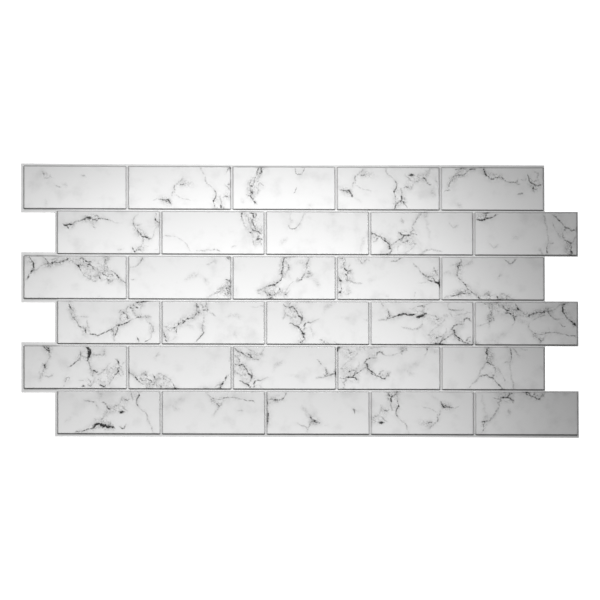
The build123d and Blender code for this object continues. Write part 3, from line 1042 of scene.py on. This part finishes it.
def printed_material():
    """Satin film over the marble print: ink and haze from the mesh, broken up by fine noise."""
    look = Nodes("printed_film")
    place = look.mark("print_place", "Vector")
    names = ("ink", "haze", "wall", "outer", "height")
    ink, haze, wall, outer, height = (look.mark(name, "Fac") for name in names)
    # Clouds, stronger near the veins
    cloud = look.math("MULTIPLY", look.patches(place, CLOUDS), CLOUD_SHARE)
    near = look.math("MULTIPLY", haze, look.patches(place, VEIN_CLOUDS))
    near = look.math("MULTIPLY", near, VEIN_CLOUD_SHARE)
    paper = look.mix(look.math("ADD", cloud, near, clamp=True), grey(PAPER), grey(PAPER_CLOUD))
    # Fine cracks between the veins, and dark beads on them
    web = look.math("MULTIPLY", look.cracks(place), look.patches(place, CRACKED_PATCHES))
    web = look.math("MULTIPLY", web, look.ramp(haze, *CRACK_HAZE))
    bead = look.math("MULTIPLY_ADD", look.patches(place, BEADS), BEAD_GAIN, BEAD_BASE)
    web = look.math("MULTIPLY", web, bead)
    laid = look.math("MULTIPLY", ink, bead)
    laid = look.math("MULTIPLY_ADD", web, CRACK_INK, laid, clamp=True)
    colour = look.mix(laid, paper, grey(VEIN_BLACK))
    # Painted shade on the walls, and painted shade on the tile from top to bottom
    above = look.ramp(height, *WALL_HEIGHTS)
    below = look.ramp(height, -WALL_HEIGHTS[0], -WALL_HEIGHTS[1])
    darker = look.math("MULTIPLY_ADD", below, WALL_PAINTED_SHADE - BOTTOM_PAINTED_SHADOW, 1 - WALL_PAINTED_SHADE)
    darker = look.math("MULTIPLY_ADD", above, WALL_PAINTED_SHADE - TOP_PAINTED_SHADE, darker)
    tone = look.math("SUBTRACT", 1.0, look.math("MULTIPLY", wall, darker))
    # Painted shade on the walls along the panel's edge
    tone = look.math("MULTIPLY", tone, look.math("MULTIPLY_ADD", outer, OUTER_PAINTED_SHADE - 1, 1.0))
    # Painted shade: the tile is darker towards its top
    fade = look.math("SUBTRACT", 1.0, look.math("MULTIPLY", height, TILE_PAINTED_SHADE))
    colour = look.shade(colour, look.math("MULTIPLY", tone, fade))
    look.surface(
        {"Base Color": colour, "Roughness": FRONT_ROUGHNESS, "Specular IOR Level": FRONT_SPECULAR}
    )
    look.ripple(place, PRINT_RIPPLE)
    return look.material


def plain_material(name, level, roughness, shade_tone=1.0):
    """Bare film, a little mottled. Where it lies in shade, it is darker by shade_tone."""
    look = Nodes(name)
    place = look.node("ShaderNodeTexCoord").outputs["Object"]
    colour = look.mix(look.patches(place, MOTTLE), grey(level), grey(level * MOTTLE_TONE))
    tone = look.math("MULTIPLY_ADD", look.mark("shade", "Fac"), shade_tone - 1, 1.0)
    look.surface({"Base Color": look.shade(colour, tone), "Roughness": roughness})
    look.ripple(place, BARE_RIPPLE)
    return look.material


# The photograph's frame. It was taken with a long lens, a little from the left and from below.
FRAME_WIDTH = 1.0519  # metres across the picture
FRAME_X = -0.0002  # where the middle of the picture lies on the panel
FRAME_Y = 0.0011
CAMERA_DISTANCE = 25.0
VIEW_FROM_LEFT = 4.5  # degrees away from straight above
VIEW_FROM_BELOW = 4.5
VIEW_ROLL = 0.17
SENSOR_WIDTH = 36  # millimetres


def set_camera():
    """Above the panel, with the top of the wall at the top of the picture."""
    camera = bpy.data.cameras.new("camera")
    camera.sensor_width = SENSOR_WIDTH
    camera.lens = SENSOR_WIDTH * CAMERA_DISTANCE / FRAME_WIDTH
    holder = add_object("camera", camera)
    slant = (-math.tan(math.radians(VIEW_FROM_LEFT)), -math.tan(math.radians(VIEW_FROM_BELOW)), 1.0)
    back = Vector(slant).normalized()
    roll = math.radians(VIEW_ROLL)
    side = Vector((math.sin(roll), math.cos(roll), 0)).cross(back).normalized()
    holder.rotation_euler = Matrix((side, back.cross(side), back)).transposed().to_euler()
    holder.location = Vector((FRAME_X, FRAME_Y, 0)) + back * CAMERA_DISTANCE
    bpy.context.scene.camera = holder


# The lights, in metres, watts and degrees
STRIP_PLACE = (-0.4, 0.8, 1.56)
STRIP_AIM = (-0.18, 0.0, 0.0)
STRIP_SIZE = (2.0, 0.35)
STRIP_POWER = 21.6
SPOT_PLACE = (0.15, 0.8, 1.56)
SPOT_AIM = (-0.09, -0.11, 0.0)
SPOT_CONE = 38.8
SPOT_RADIUS = 0.15
SPOT_POWER = 78.2
SKY_STRENGTH = 0.03
WHITE = grey(1)


def hang_light(light, place, aim):
    """Puts a light in its place, turned towards a point."""
    holder = add_object(light.name, light)
    holder.location = place
    holder.rotation_euler = (Vector(aim) - Vector(place)).to_track_quat("-Z", "Y").to_euler()


def set_light():
    """A long soft light above, with a spot that fades out to the right, and a dim even sky."""
    strip = bpy.data.lights.new("strip", "AREA")
    strip.shape = "RECTANGLE"
    strip.size, strip.size_y = STRIP_SIZE
    strip.energy = STRIP_POWER
    hang_light(strip, STRIP_PLACE, STRIP_AIM)
    # Its brightness fades out evenly towards the edge of its cone
    spot = bpy.data.lights.new("spot", "SPOT")
    spot.spot_size = math.radians(SPOT_CONE)
    spot.spot_blend = 1.0
    spot.shadow_soft_size = SPOT_RADIUS
    spot.energy = SPOT_POWER
    hang_light(spot, SPOT_PLACE, SPOT_AIM)
    world = bpy.data.worlds.new("studio")
    world.use_nodes = True
    sky = world.node_tree.nodes["Background"]
    sky.inputs["Color"].default_value = WHITE
    sky.inputs["Strength"].default_value = SKY_STRENGTH
    bpy.context.scene.world = world
    bpy.context.scene.view_settings.view_transform = "Standard"


FLOOR_HALF = 6.0  # metres from its middle to its edge
FLOOR_DROP = 0.0002  # metres that it lies below the panel
FLOOR_LEVEL = 0.8
FLOOR_ROUGHNESS = 0.9
FLOOR_GLOW = 1.0  # so that it is as white as the picture's background


def set_floor():
    """A wide pale floor under the panel."""
    mesh = bpy.data.meshes.new("floor")
    signs = ((-1, -1), (1, -1), (1, 1), (-1, 1))
    mesh.from_pydata([(x * FLOOR_HALF, y * FLOOR_HALF, 0) for x, y in signs], [], [(0, 1, 2, 3)])
    look = Nodes("floor")
    look.surface({"Base Color": grey(FLOOR_LEVEL), "Roughness": FLOOR_ROUGHNESS})
    look.surface({"Emission Color": WHITE, "Emission Strength": FLOOR_GLOW})
    mesh.materials.append(look.material)
    floor = add_object("floor", mesh)
    floor.location = (0, 0, -FLOOR_DROP)


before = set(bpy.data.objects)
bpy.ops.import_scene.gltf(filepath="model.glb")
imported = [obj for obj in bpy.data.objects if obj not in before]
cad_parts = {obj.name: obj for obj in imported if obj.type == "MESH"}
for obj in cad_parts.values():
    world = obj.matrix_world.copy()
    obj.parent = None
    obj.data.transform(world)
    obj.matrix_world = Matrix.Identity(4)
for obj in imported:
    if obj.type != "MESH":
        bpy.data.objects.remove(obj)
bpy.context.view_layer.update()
materials = [
    printed_material(),
    plain_material("joint_film", JOINT_LEVEL, FRONT_ROUGHNESS, JOINT_SHADE),
    plain_material("back_film", BACK_LEVEL, BACK_ROUGHNESS),
    plain_material("cut_edge", EDGE_LEVEL, EDGE_ROUGHNESS),
]
panel = film_object(film_mesh(), materials)
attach(panel, "root")
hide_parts("wall_panel")
set_floor()
set_camera()
set_light()
